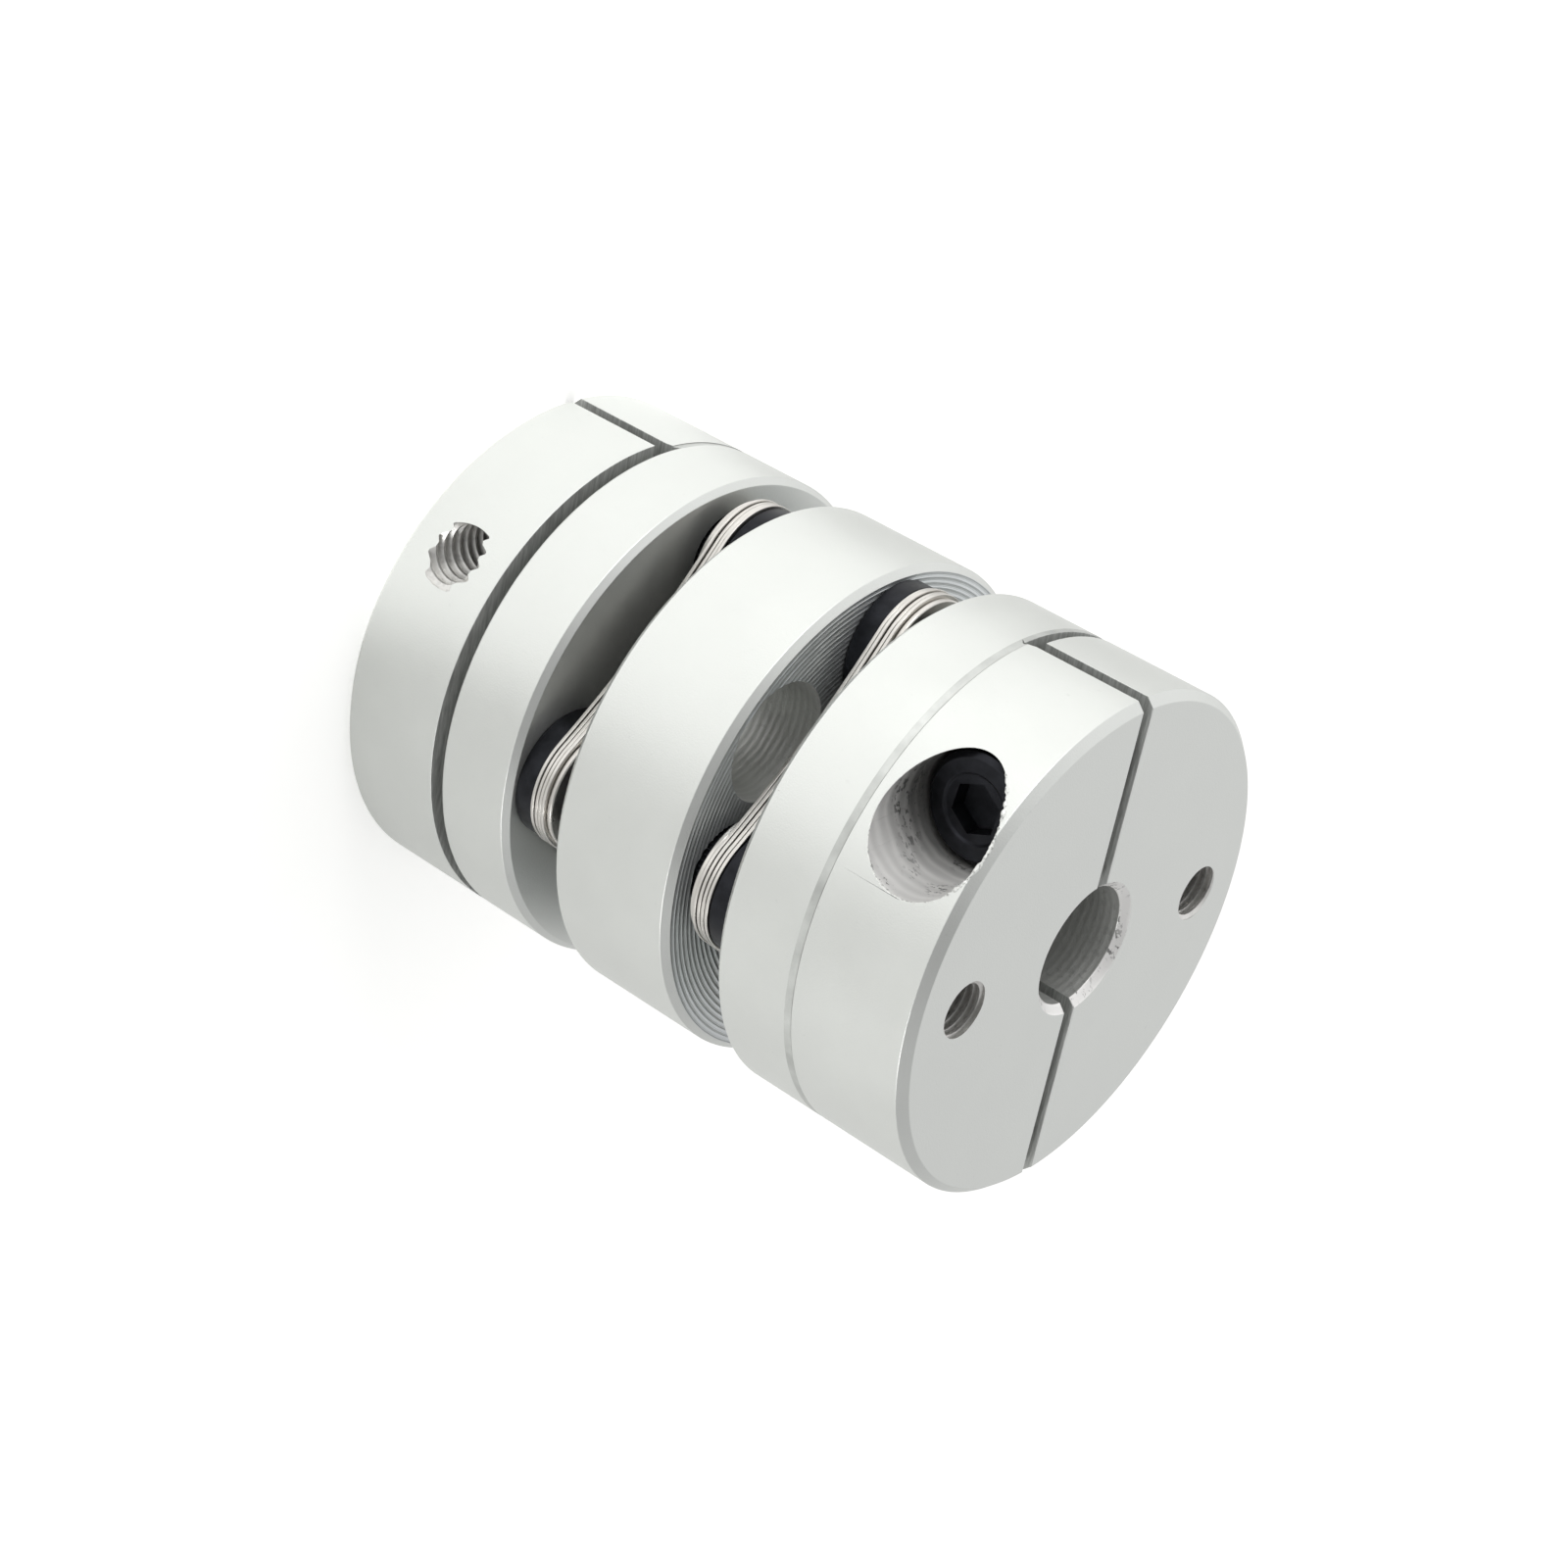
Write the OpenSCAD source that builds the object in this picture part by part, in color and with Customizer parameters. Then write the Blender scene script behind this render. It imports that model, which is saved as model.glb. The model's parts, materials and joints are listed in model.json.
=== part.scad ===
// Diaphragm shaft coupling with two clamp hubs, two laminated disc packs and a centre spacer.
// It stands on the end face of its lower hub, with the shaft axis along Z.
// X runs along the split line of the hubs, towards their clamp screws.

/* [Body] */
// Outer diameter of the hubs and the spacer
outer_d = 34; // [30:0.5:48]
// Length of each hub
hub_l = 14.7; // [13.5:0.1:30]
// Length of the centre spacer
spacer_l = 9.6; // [9.3:0.1:30]
// Bevel on every outer rim
rim_chamfer = 0.55; // [0.2:0.05:1]

/* [Shaft bore] */
// Diameter of the shaft bore
bore_d = 8; // [4:0.1:11]
// Bevel at the mouth of the shaft bore
bore_chamfer = 0.6; // [0.2:0.05:1]

/* [Clamp jaw] */
// Distance from the end face to the cross slit, which is the jaw's length
jaw_l = 8; // [8:0.1:12]
// Width of the cross slit that frees the jaw from the flange
cross_slit_w = 0.9; // [0.5:0.1:2]
// How far the pointed end of the cross slit runs past the split
slit_runout = 0.25; // [0.1:0.05:1]
// Width of the split across the end face
split_w = 0.95; // [0.5:0.05:2]
// Thickness of the neck that still joins the jaw to the flange
neck_t = 3.4; // [2:0.1:6]
// Width of the turned marking line beside the cross slit
mark_w = 0.5; // [0.2:0.1:0.8]
// Depth of that line
mark_depth = 0.08; // [0.04:0.01:0.3]
// How far the line starts below the cross slit
mark_drop = 0.2; // [0:0.05:0.4]

/* [Clamp screw] */
// Thread diameter of every screw in the coupling
thread_d = 4; // [3:0.1:5]
// How far inside the rim the clamp screw's axis lies
clamp_inset = 6.45; // [5.8:0.05:6.8]
// Distance of the clamp screw from the end face
clamp_z = 4.2; // [4:0.05:5]
// Height of the head's seat above the split plane
clamp_seat = 5.4; // [3:0.1:7]
// Length of the clamp screw under its head
clamp_l = 12; // [8:0.5:16]

/* [Screw heads] */
// Diameter of a clamp screw's socket head
head_d = 7; // [6:0.1:7.2]
// Diameter of a disc screw's small socket head
disc_head_d = 5.5; // [5:0.1:6.5]
// Height of a socket head
head_h = 4; // [2.5:0.1:4.2]
// Width across the flats of the hexagon socket
key_af = 3; // [2:0.1:3.5]
// Depth of the hexagon socket
key_depth = 2; // [1:0.1:2.4]
// Gap round the clamp screw's head in its counterbore
clamp_head_gap = 0.25; // [0.1:0.05:0.6]
// Gap round a disc screw's head in the hole it sinks into
disc_head_gap = 0.2; // [0.1:0.05:0.4]
// Space left behind a disc screw's head
head_floor_gap = 0.8; // [0.2:0.1:1]

/* [Disc packs] */
// Number of laminae in a pack
leaves = 4; // [2:1:6]
// Thickness of one lamina
leaf_t = 0.3; // [0.1:0.05:0.4]
// Radius of each rounded lobe of a lamina, about its screw
lobe_r = 4.4; // [4.2:0.05:5]
// How far inside the rim of the hubs the tip of a lobe ends
lobe_inset = 0.5; // [0.2:0.05:1]
// How deep each side of a lamina is hollowed between its lobes
side_hollow = 0.55; // [0.1:0.05:1.2]
// Diameter of the opening in the middle of a lamina
leaf_bore_d = 13; // [10:0.1:14]

/* [Disc screws] */
// Space left between the tips of two disc screws that meet inside the spacer
tip_space = 0.4; // [0.2:0.1:3]
// Diameter of the collar on the tapped side of a pack
collar_d = 8.6; // [6:0.1:8.8]
// Thickness of that collar
collar_t = 1.4; // [1:0.1:3]
// Diameter of the washer under a disc screw's head
washer_d = 8.4; // [6:0.1:8.8]
// Thickness of that washer
washer_t = 0.4; // [0.2:0.1:1]
// Clearance between a screw's shank and a plain hole
hole_gap = 0.15; // [0.1:0.05:0.4]

/* [Spacer] */
// Diameter of the opening through the middle of the spacer
spacer_bore_d = 13; // [10:0.1:14]
// Wall left between each window and the outside of the spacer
window_rim = 0.8; // [0.6:0.1:2]
// Wall left between a window and the hole for a screw head beside it
window_web = 1.35; // [0.4:0.05:2]
// Turn of each window from the screw that holds the spacer beside it
window_turn = 50; // [47:1:52]

/* [Hidden] */
$fn = 96;
// Overlap of a cutting tool past the face that it opens
over = 1;
// Running gap between a screw and its tapped hole
thread_gap = 0.05;
// Bevel on the small turned parts
small_chamfer = 0.15;
washer_chamfer = 0.08;
head_chamfer = 0.35;
tip_chamfer = 0.4;
tap_mouth = 0.1;
key_cone = 0.5;

outer_r = outer_d / 2;
bore_r = bore_d / 2;
screw_r = outer_r - lobe_inset - lobe_r;
tap_r = thread_d / 2;
shank_r = tap_r - thread_gap;
plain_r = tap_r + hole_gap;
pack_t = leaves * leaf_t;
// The pack lies midway in its gap, as far from the spacer as from the hub
gap = 2 * collar_t + pack_t;
coupling_l = 2 * hub_l + 2 * gap + spacer_l;
spacer_z = hub_l + gap;
head_sink = head_h + washer_t - collar_t;
disc_screw_l = washer_t + pack_t + collar_t + (spacer_l - tip_space) / 2;
head_hole_r = disc_head_d / 2 + disc_head_gap;
head_hole_depth = head_sink + head_floor_gap;
clamp_hole_r = head_d / 2 + clamp_head_gap;
clamp_x = outer_r - clamp_inset;

// A window is the circle that leaves its two walls: one to the rim, one to the head hole
window_reach = outer_r - window_rim;
window_span = window_reach + head_hole_r + window_web;
window_at = (pow(window_span, 2) - pow(screw_r, 2))
    / (2 * (window_span - screw_r * cos(90 - window_turn)));
window_r = window_reach - window_at;

// The four screws of a pack, in turn from the X axis: 1 and 3 hold the spacer, 2 and 4 the hub
PLACES = [1:4];
SPACER_PLACES = [1, 3];
HUB_PLACES = [2, 4];
SIDES = ["upper", "lower"];

// Round bar from z = 0 to z = l, bevelled at both ends
module bevelled_bar(r, l, c) {
    rotate_extrude()
        polygon([[0, 0], [r - c, 0], [r, c], [r, l - c], [r - c, l], [0, l]]);
}

// Ring from z = 0 to z = t, bevelled on its outer rims
module ring(r, hole_r, t, c) {
    rotate_extrude()
        polygon([[hole_r, 0], [r - c, 0], [r, c], [r, t - c], [r - c, t], [hole_r, t]]);
}

// Tool for a round hole whose mouth, at z = 0, is bevelled; the hole runs down from it
module bevelled_hole(r, depth, c) {
    rotate_extrude()
        polygon([[0, -depth], [r, -depth], [r, -c], [r + c + over, over], [0, over]]);
}

// Tool for a plain round hole through a piece that stands from z = 0 to z = l
module through_hole(r, l) {
    translate([0, 0, -over]) cylinder(h = l + 2 * over, r = r);
}

// Turn of place number k from the X axis
function turn(k) = 90 * (k - 1);

module at_place(k) {
    rotate(turn(k)) translate([screw_r, 0, 0]) children();
}

// Carries what is built for the upper end to the lower end
module on_side(s) {
    if (s == "upper") children();
    else translate([0, 0, coupling_l]) rotate([180, 0, 0]) children();
}

// Socket head screw along Z: the head's seat is at z = 0, the head above it, the shank below
module socket_screw(l, head_r) {
    key_r = key_af / 2 / cos(30);
    difference() {
        rotate_extrude()
            polygon([
                [0, -l], [shank_r - tip_chamfer, -l], [shank_r, tip_chamfer - l], [shank_r, 0],
                [head_r, 0], [head_r, head_h - head_chamfer],
                [head_r - head_chamfer, head_h], [0, head_h]
            ]);
        translate([0, 0, head_h - key_depth]) cylinder(h = key_depth + over, r = key_r, $fn = 6);
        translate([0, 0, head_h - key_depth - key_cone])
            cylinder(h = key_cone, r1 = 0, r2 = key_af / 2);
    }
}

// Clamp hub as it stands at the upper end: its end face looks up at z = 0
// The jaw that closes on the shaft is the half on the side of negative Y
module hub_solid() {
    slit_z = -jaw_l - cross_slit_w;
    difference() {
        translate([0, 0, -hub_l]) bevelled_bar(outer_r, hub_l, rim_chamfer);

        // Shaft bore, bevelled at both mouths
        bevelled_hole(bore_r, hub_l + over, bore_chamfer);
        translate([0, 0, -hub_l]) rotate([180, 0, 0]) bevelled_hole(bore_r, over, bore_chamfer);

        // Split through the whole diameter, as deep as the cross slit
        translate([-outer_r - over, -split_w / 2, slit_z])
            cube([outer_d + 2 * over, split_w, jaw_l + cross_slit_w + over]);

        // Cross slit under the jaw: it stops short of the rim, which leaves the neck
        translate([-outer_r + neck_t, 0, 0]) rotate([90, 0, 90])
            linear_extrude(outer_d)
                polygon([
                    [-outer_r - over, slit_z], [split_w / 2 + slit_runout, slit_z],
                    [split_w / 2, -jaw_l], [-outer_r - over, -jaw_l]
                ]);

        // Turned line round the hub, which carries the cross slit on round the fixed half
        translate([0, 0, slit_z - mark_drop]) difference() {
            cylinder(h = mark_w, r = outer_r + over);
            translate([0, 0, -over]) cylinder(h = mark_w + 2 * over, r = outer_r - mark_depth);
        }

        // Clamp screw: head counterbore and plain hole in the fixed half, thread in the jaw
        translate([clamp_x, 0, -clamp_z]) rotate([-90, 0, 0]) {
            translate([0, 0, clamp_seat]) cylinder(h = outer_r, r = clamp_hole_r);
            cylinder(h = clamp_seat + over, r = plain_r);
            translate([0, 0, -outer_r - over]) cylinder(h = outer_r + over, r = tap_r);
        }

        // Tapped holes through the hub for the disc screws that hold the pack to it
        for (k = HUB_PLACES) at_place(k) {
            bevelled_hole(tap_r, hub_l + over, tap_mouth);
            translate([0, 0, -hub_l]) rotate([180, 0, 0]) bevelled_hole(tap_r, over, tap_mouth);
        }

        // Blind holes for the heads of the disc screws that hold the pack to the spacer
        for (k = SPACER_PLACES) at_place(k)
            translate([0, 0, -hub_l - over]) cylinder(h = head_hole_depth + over, r = head_hole_r);
    }
}

module top_hub() {
    color("#d0d2ce") translate([0, 0, coupling_l]) hub_solid();
}

module bottom_hub() {
    color("#d0d2ce") rotate([180, 0, 0]) hub_solid();
}

module centre_spacer() {
    color("#cdcfcb") translate([0, 0, spacer_z]) difference() {
        bevelled_bar(outer_r, spacer_l, rim_chamfer);
        through_hole(spacer_bore_d / 2, spacer_l);
        for (k = SPACER_PLACES) at_place(k) through_hole(tap_r, spacer_l);
        for (k = HUB_PLACES) at_place(k) through_hole(head_hole_r, spacer_l);
        for (k = SPACER_PLACES) rotate(turn(k) + window_turn)
            translate([window_at, 0, 0]) through_hole(window_r, spacer_l);
    }
}

module top_clamp_screw() {
    color("#1b1c1f") translate([clamp_x, clamp_seat, coupling_l - clamp_z])
        rotate([-90, 0, 0]) socket_screw(clamp_l, head_d / 2);
}

module bottom_clamp_screw() {
    color("#1b1c1f") translate([clamp_x, -clamp_seat, clamp_z])
        rotate([90, 0, 0]) socket_screw(clamp_l, head_d / 2);
}

// Outline of a lamina: four round lobes joined by shallow hollow sides
// Each side is one arc that meets both of its lobes on a tangent
module leaf_outline() {
    half = screw_r / sqrt(2);
    hollow_r = (pow(half, 2) + pow(side_hollow, 2)) / (2 * side_hollow) - lobe_r;
    hollow_at = (half + lobe_r - side_hollow + hollow_r) / sqrt(2);
    reach = norm([hollow_at - screw_r, hollow_at]);
    touch = [screw_r, 0] + lobe_r / reach * [hollow_at - screw_r, hollow_at];
    difference() {
        union() {
            polygon([for (k = PLACES, side = [-1, 1])
                let (c = cos(turn(k)), s = sin(turn(k)), y = side * touch.y)
                [c * touch.x - s * y, s * touch.x + c * y]]);
            for (k = PLACES) at_place(k) circle(r = lobe_r);
        }
        for (k = PLACES) rotate(turn(k))
            translate([hollow_at, hollow_at]) circle(r = hollow_r, $fn = 360);
        circle(r = leaf_bore_d / 2);
        for (k = PLACES) at_place(k) circle(r = plain_r);
    }
}

// Lamina number k of the upper pack, counted up from the spacer
module disc(s, k) {
    color("#c9c6bd") on_side(s)
        translate([0, 0, spacer_z + spacer_l + collar_t + (k - 1) * leaf_t])
            linear_extrude(leaf_t) leaf_outline();
}

// Screws 1 and 3 have their thread in the spacer and point down, 2 and 4 in the hub and point up
module threaded_towards(k) {
    pack_z = spacer_z + spacer_l + collar_t;
    at_place(k) {
        if (k % 2 == 1) translate([0, 0, pack_z]) children();
        else translate([0, 0, pack_z + pack_t]) rotate([180, 0, 0]) children();
    }
}

module disc_screw(s, k) {
    color("#1b1c1f") on_side(s) threaded_towards(k)
        translate([0, 0, pack_t + washer_t]) socket_screw(disc_screw_l, disc_head_d / 2);
}

module collar(s, k) {
    color("#17181b") on_side(s) threaded_towards(k)
        translate([0, 0, -collar_t]) ring(collar_d / 2, plain_r, collar_t, small_chamfer);
}

module washer(s, k) {
    color("#c9c6bd") on_side(s) threaded_towards(k)
        translate([0, 0, pack_t]) ring(washer_d / 2, plain_r, washer_t, washer_chamfer);
}

top_hub();
bottom_hub();
centre_spacer();
top_clamp_screw();
bottom_clamp_screw();
for (s = SIDES, k = [1:leaves])
    disc(s, k);
for (s = SIDES, k = PLACES)
    disc_screw(s, k);
for (s = SIDES, k = PLACES)
    collar(s, k);
for (s = SIDES, k = PLACES)
    washer(s, k);
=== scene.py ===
import json
import math
import random

import bmesh
import bpy
from bpy.props import (FloatProperty, FloatVectorProperty, IntProperty,
                       PointerProperty)
from mathutils import Matrix, Vector


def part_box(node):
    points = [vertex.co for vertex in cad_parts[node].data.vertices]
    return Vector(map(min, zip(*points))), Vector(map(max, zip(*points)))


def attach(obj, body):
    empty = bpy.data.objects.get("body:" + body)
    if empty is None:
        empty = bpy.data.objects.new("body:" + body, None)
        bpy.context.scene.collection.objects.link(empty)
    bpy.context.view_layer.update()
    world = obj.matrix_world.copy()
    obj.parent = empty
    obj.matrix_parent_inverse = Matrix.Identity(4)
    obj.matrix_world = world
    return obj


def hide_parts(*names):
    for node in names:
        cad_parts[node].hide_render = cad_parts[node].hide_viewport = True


bl_info = {
    "name": "Diaphragm coupling",
    "version": (1, 0, 0),
    "blender": (4, 5, 0),
    "location": "3D View > Sidebar > Coupling",
    "description": "Builds the finished look of a diaphragm shaft coupling on its packed solids",
    "category": "Object",
}

MM = 0.001
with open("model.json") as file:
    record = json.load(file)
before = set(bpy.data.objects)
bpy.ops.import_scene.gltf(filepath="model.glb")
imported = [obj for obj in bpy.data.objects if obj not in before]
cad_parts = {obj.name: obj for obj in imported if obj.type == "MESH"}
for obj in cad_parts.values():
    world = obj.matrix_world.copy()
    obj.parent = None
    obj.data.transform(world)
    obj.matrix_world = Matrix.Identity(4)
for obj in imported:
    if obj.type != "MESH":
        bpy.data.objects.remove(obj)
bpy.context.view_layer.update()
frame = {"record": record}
MOUNTS = {mount["name"]: mount for mount in frame["record"]["mounts"]}

TOP_HUB_LOW, TOP_HUB_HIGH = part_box("top_hub")
SPACER_LOW, SPACER_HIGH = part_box("centre_spacer")
CLAMP_LOW, CLAMP_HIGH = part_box("top_clamp_screw")
COUPLING_L = TOP_HUB_HIGH.z
OUTER_R = TOP_HUB_HIGH.x
BORE_R = MOUNTS["top_shaft_bore"]["dims"]["r_mm"] * MM
HEAD_R = (CLAMP_HIGH.x - CLAMP_LOW.x) / 2
HEAD_H = 4 * MM
SIDES = ("upper", "lower")

# Room that a cutting tool needs past the piece, so that none of their faces lie on each other
SAW_PAST, TOOL_PAST, TAP_PAST, OVERLAP = 2 * MM, 1 * MM, 1.3 * MM, 0.1 * MM
# Less than any real step of a shape
HAIR = 0.01 * MM
# How much farther out the painted shade in a counterbore reaches for each step along Z towards the disc
# pack
PAINTED_SHADE_LEAN = 0.5
# Share by which the rings in a counterbore's wall shift the painted shade, so that it ends in bands
PAINTED_SHADE_BANDS = 0.08
# Where the counterbore's mouth is torn, and where it has a thin lip, in degrees about its screw
TORN_MOUTH, LIPPED_MOUTH = range(24, 136, 2), range(132, 262, 3)
# Marks on a rim: degrees from X and their step, millimetres over a bevel and their step, points
NICKS = ((66.4, 0.2, -0.35, 0, 9), (67.2, 0, -0.7, 0.09, 9))
BRUISES = ((56, 0.25, 0.45, 0, 12), (58.5, 0.25, 0.2, 0, 16), (63, 0.25, 0.15, 0, 9),
           (66.5, 0.25, 0.4, 0, 7))


def cad_place(node):
    """Middle of a CAD node's box."""
    low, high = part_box(node)
    return (low + high) / 2


SCREW_R = cad_place("upper_disc_screw_1").x
DISC_HEAD_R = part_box("upper_disc_screw_1")[1].x - SCREW_R


def length(name, description, default):
    return FloatProperty(name=name, description=description, default=default, min=0, unit="LENGTH")


def degrees(name, description, default):
    return FloatProperty(name=name, description=description, default=math.radians(default), subtype="ANGLE")


def amount(name, description, default, unit="NONE"):
    return FloatProperty(name=name, description=description, default=default, unit=unit)


def whole(name, description, default, least=0):
    return IntProperty(name=name, description=description, default=default, min=least)


def spot_or_way(name, description, default, **kind):
    return FloatVectorProperty(name=name, description=description, default=default, size=3, **kind)


def tint(name, description, default):
    """A colour as the user sees it on screen, from an sRGB hex value."""
    return FloatVectorProperty(name=name, description=description, default=linear(default),
                               size=3, subtype="COLOR", min=0, max=1)


def linear(hex_colour):
    """sRGB hex to the linear values that Blender's nodes take."""
    parts = [int(hex_colour[i:i + 2], 16) / 255 for i in (1, 3, 5)]
    return [c / 12.92 if c <= 0.04045 else ((c + 0.055) / 1.055) ** 2.4 for c in parts]


class HubSizes(bpy.types.PropertyGroup):
    outer_r: length("Outer radius", "Radius of the hub", OUTER_R)
    hub_l: length("Length", "Length of the hub", TOP_HUB_HIGH.z - TOP_HUB_LOW.z)
    bore_r: length("Bore radius", "Radius of the shaft bore", BORE_R)
    rim_chamfer: length("Rim bevel", "Bevel on the outer rim of the end face", 0.55 * MM)
    gap_chamfer: length("Gap rim bevel", "Bevel on the outer rim beside the disc pack", 0.4 * MM)
    bore_chamfer: length("Bore bevel", "Bevel at the mouths of the bore", 0.5 * MM)
    split_w: length("Split width", "Width of the split across the end face", 0.95 * MM)
    jaw_l: length("Jaw length", "Distance from the end face to the cross slit", 8.05 * MM)
    top_slit_w: length("Top cross slit", "Width of the cross slit in the top hub", 0.75 * MM)
    bottom_slit_w: length("Bottom cross slit", "Width of the cross slit in the bottom hub", 1 * MM)
    slit_runout: length("Slit runout", "How far the pointed end runs past the split", 0.25 * MM)
    neck_t: length("Neck", "Thickness of the neck that joins the jaw to the flange", 3.4 * MM)
    mark_at: length("Line place", "Distance from the end face to the line's far side", 9.15 * MM)
    mark_w: length("Line width", "Width of the line's long slope", 0.5 * MM)
    mark_depth: length("Line depth", "Depth of the line", 0.06 * MM)
    clamp_seat: length("Clamp seat", "Height of the clamp screw's seat above the split plane",
                       CLAMP_HIGH.y - HEAD_H)
    clamp_hole_r: length("Counterbore radius", "Radius of the clamp screw's counterbore",
                         HEAD_R + 0.25 * MM)
    thread_end: length("Thread end", "Distance from the rim to the end of the clamp's thread", 1 * MM)
    clear_r: length("Clearance hole", "Radius of the plain hole for a screw", 2.15 * MM)
    head_hole_r: length("Head hole radius", "Radius of the blind holes for disc screw heads",
                        DISC_HEAD_R + 0.2 * MM)
    head_hole_depth: length("Head hole depth", "Depth of those blind holes", 3.8 * MM)
    edge: length("Broken edge", "Width of the rounding on every machined edge", 0.045 * MM)


class ThreadSizes(bpy.types.PropertyGroup):
    major_r: length("Crest radius", "Largest radius of the M4 thread in a hole", 2.02 * MM)
    minor_r: length("Root radius", "Smallest radius of that thread", 1.67 * MM)
    pitch: length("Pitch", "Rise of the clamp screws' thread in one turn", 0.7 * MM)
    fine_r: length("Fine root radius", "Smallest radius of the disc screws' fine thread", 1.76 * MM)
    fine_pitch: length("Fine pitch", "Rise of the disc screws' thread in one turn", 0.5 * MM)


class SpacerSizes(bpy.types.PropertyGroup):
    outer_r: length("Outer radius", "Radius of the spacer", SPACER_HIGH.x)
    opening_r: length("Opening radius", "Radius of the opening in the middle", 6.5 * MM)
    rim_chamfer: length("Rim bevel", "Bevel on both outer rims", 0.45 * MM)
    plain_w: length("Plain band", "Least width of the band without grooves round the opening", 0.3 * MM)
    feed: length("Tool feed", "Distance between the turned grooves on its faces", 0.36 * MM)
    groove: length("Groove depth", "Depth of those grooves", 0.05 * MM)
    window_r: length("Window radius", "Radius of the two windows", 4 * MM)
    window_at: length("Window place", "Distance of a window from the axis", 12.19 * MM)
    window_turn: degrees("Window turn", "Turn of each window from the screw beside it", 50)
    head_hole_r: length("Head hole radius", "Radius of the holes for disc screw heads",
                        DISC_HEAD_R + 0.2 * MM)
    edge: length("Broken edge", "Width of the rounding on every machined edge", 0.045 * MM)


class PackSizes(bpy.types.PropertyGroup):
    leaves: whole("Laminae", "Number of steel laminae in a pack", 4, least=1)
    leaf_t: length("Thickness", "Thickness of a lamina", 0.3 * MM)
    lobe_r: length("Lobe radius", "Radius of a lobe about its screw", 4.4 * MM)
    side_hollow: length("Hollow", "How deep each side is hollowed between its lobes", 0.55 * MM)
    opening_r: length("Opening radius", "Radius of the opening in the middle", 6.5 * MM)
    hole_r: length("Hole radius", "Radius of the four screw holes", 2.15 * MM)
    leaf_gap: length("Leaf gap", "Dark line left between two laminae", 0.05 * MM)
    edge: length("Rolled edge", "Rounding that blanking leaves on a lamina's edge", 0.05 * MM)
    slip: length("Slip", "How far a lamina sits out of line with its neighbours", 0.07 * MM)
    seed: whole("Seed", "Seed of the slips", 5)


class ScrewSizes(bpy.types.PropertyGroup):
    head_r: length("Clamp head radius", "Radius of a clamp screw's socket head", HEAD_R)
    disc_head_r: length("Disc screw head radius", "Radius of a disc screw's small head", DISC_HEAD_R)
    ring_r: length("Ring radius", "Radius of the shallow round recess about the socket", 2.1 * MM)
    ring_depth: length("Ring depth", "Depth of that recess", 0.15 * MM)
    head_h: length("Head height", "Height of a socket head", HEAD_H)
    head_bevel: length("Head bevel", "Bevel on a head's outer rim", 0.35 * MM)
    seat_bevel: length("Seat bevel", "Bevel on the rim that a head is seated on", 0.15 * MM)
    plain_h: length("Plain band", "Height of the band above the knurls, with the bevel", 0.9 * MM)
    key_af: length("Key width", "Width across the flats of the hexagon socket", 3 * MM)
    key_depth: length("Key depth", "Depth of the hexagon socket", 1.3 * MM)
    point_depth: length("Point depth", "Depth of the drilled cone at its bottom", 0.5 * MM)
    knurls: whole("Knurls", "Straight knurls round a head", 44, least=8)
    knurl_depth: length("Knurl depth", "Depth of a knurl", 0.12 * MM)
    shank_r: length("Shank radius", "Radius of the thread's crest", 1.95 * MM)
    root_r: length("Root radius", "Radius of the thread's root", 1.6 * MM)
    pitch: length("Pitch", "Rise of the thread in one turn", 0.7 * MM)
    clamp_l: length("Clamp screw length", "Length of a clamp screw under its head", 12 * MM)
    disc_l: length("Disc screw length", "Length of a disc screw under its head", 7.6 * MM)
    edge: length("Broken edge", "Width of the rounding on every machined edge", 0.05 * MM)
    seed: whole("Seed", "Seed of the turn of each hexagon socket", 3)


class WearSizes(bpy.types.PropertyGroup):
    burr: length("Burr", "Thickness of the torn burr where the counterbore meets the rim", 0.11 * MM)
    lip: length("Lip", "Thickness of the thin bright lip round the rest of the mouth", 0.035 * MM)
    nick: length("Nick", "Size of the small nicks on the rims", 0.14 * MM)
    bruise: length("Bruise", "Size of the bruises beside the upper gap", 0.1 * MM)
    seed: whole("Seed", "Seed of the ragged thickness of all of these", 11)


class RingSizes(bpy.types.PropertyGroup):
    collar_r: length("Collar radius", "Radius of a collar", 4.3 * MM)
    collar_t: length("Collar thickness", "Thickness of a collar", 1.4 * MM)
    washer_r: length("Washer radius", "Radius of a washer", 4.2 * MM)
    washer_t: length("Washer thickness", "Thickness of a washer", 0.4 * MM)
    hole_r: length("Hole radius", "Radius of the hole in both", 2.15 * MM)
    chamfer: length("Bevel", "Bevel on the outer rims", 0.08 * MM)
    edge: length("Broken edge", "Width of the rounding on every machined edge", 0.04 * MM)


class Colours(bpy.types.PropertyGroup):
    blasted: tint("Blasted aluminium", "Bead-blasted and clear anodised hubs and spacer", "#DBDDDA")
    turned: tint("Turned aluminium", "Turned faces of the spacer", "#D9DDDE")
    milled: tint("Milled aluminium", "Walls of the counterbores, bevels of the bores", "#F4F3F1")
    thread: tint("Cut thread", "Flanks of the tapped threads", "#DAD9D6")
    bored: tint("Bored aluminium", "Walls of the bores and windows", "#D3D4D1")
    scored: tint("Scored line", "Turned line round the hubs", "#C3C5C2")
    sawn: tint("Sawn aluminium", "Walls of the slits", "#CED0CD")
    strip: tint("Spring steel", "Bright rolled strip of the laminae", "#D8D5D0")
    oxide: tint("Black oxide", "Screws and collars", "#26272B")
    floor: tint("Floor", "Plain pale floor", "#FAFAF8")


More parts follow.
